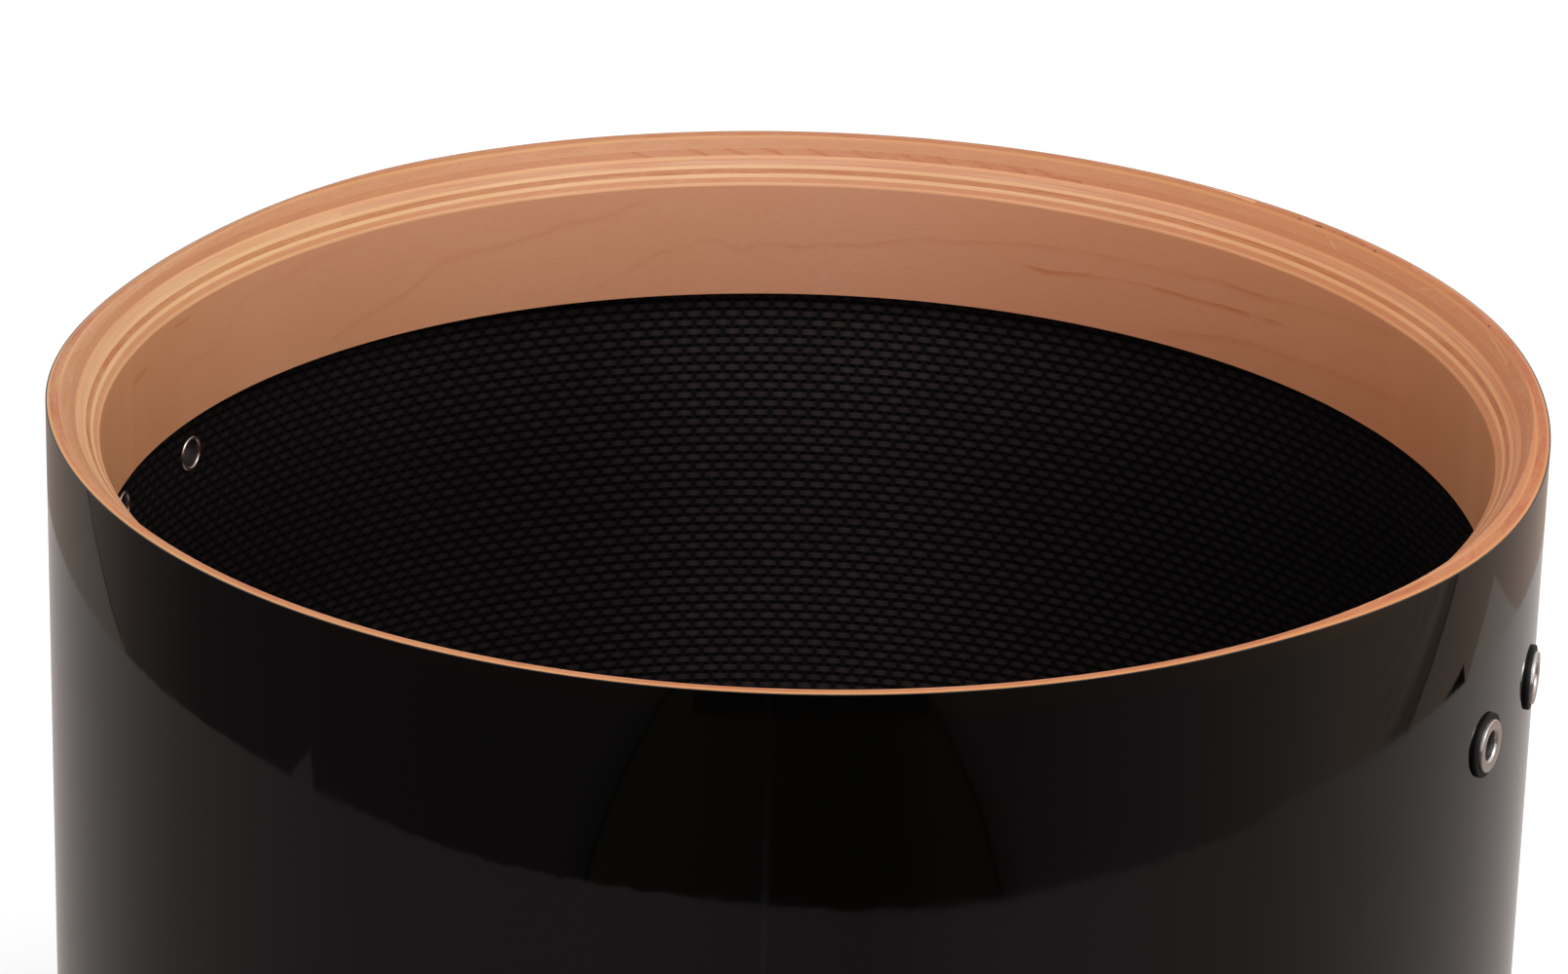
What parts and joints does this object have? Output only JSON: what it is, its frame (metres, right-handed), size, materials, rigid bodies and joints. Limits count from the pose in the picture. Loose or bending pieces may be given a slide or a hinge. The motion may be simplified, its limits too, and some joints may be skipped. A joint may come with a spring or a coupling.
{
  "type": "snare drum shell",
  "caption": "Bare cylindrical marching snare drum shell with reinforcement rings, cut bearing edges, snare beds and flanged bushings.",
  "frame": {"origin": "on the drum's axis, in the plane of the batter-side bearing edge that the shell stands on", "axes": "+Z along the drum's axis, from the batter side up to the snare side; +X from the axis to the strainer side, through the middle of one snare bed"},
  "size_m": [0.3544, 0.3516, 0.3],
  "materials": {
    "gloss_covering": "high-gloss black sheet",
    "maple_light": "sanded edge of a light ply",
    "maple_red": "sanded edge of a reddish ply",
    "maple_pink": "sanded edge of a pinkish ply",
    "maple_tan": "sanded, thinly sealed maple",
    "woven_liner": "satin resin over a black plain weave",
    "bushing_steel": "plated steel",
    "washer_rubber": "moulded black rubber"
  },
  "bodies": {
    "root": {"outer_covering": "gloss_covering", "shell_ply_1": "maple_light", "shell_ply_2": "maple_red", "shell_ply_3": "maple_light", "shell_ply_4": "maple_pink", "shell_ply_5": "maple_pink", "shell_ply_6": "maple_light", "inner_liner": "woven_liner", "snare_ring_ply_1": "maple_pink", "snare_ring_ply_2": "maple_light", "snare_ring_ply_3": "maple_red", "snare_ring_ply_4": "maple_light", "snare_ring_ply_5": "maple_tan", "snare_ring_ply_6": "maple_light", "batter_ring_ply_1": "maple_pink", "batter_ring_ply_2": "maple_light", "batter_ring_ply_3": "maple_red", "batter_ring_ply_4": "maple_light", "batter_ring_ply_5": "maple_tan", "batter_ring_ply_6": "maple_light", "strainer_side_1_bushing": "bushing_steel", "strainer_side_1_washer": "washer_rubber", "strainer_side_2_bushing": "bushing_steel", "strainer_side_2_washer": "washer_rubber", "butt_side_1_bushing": "bushing_steel", "butt_side_1_washer": "washer_rubber", "butt_side_2_bushing": "bushing_steel", "butt_side_2_washer": "washer_rubber"}
  },
  "joints": []
}
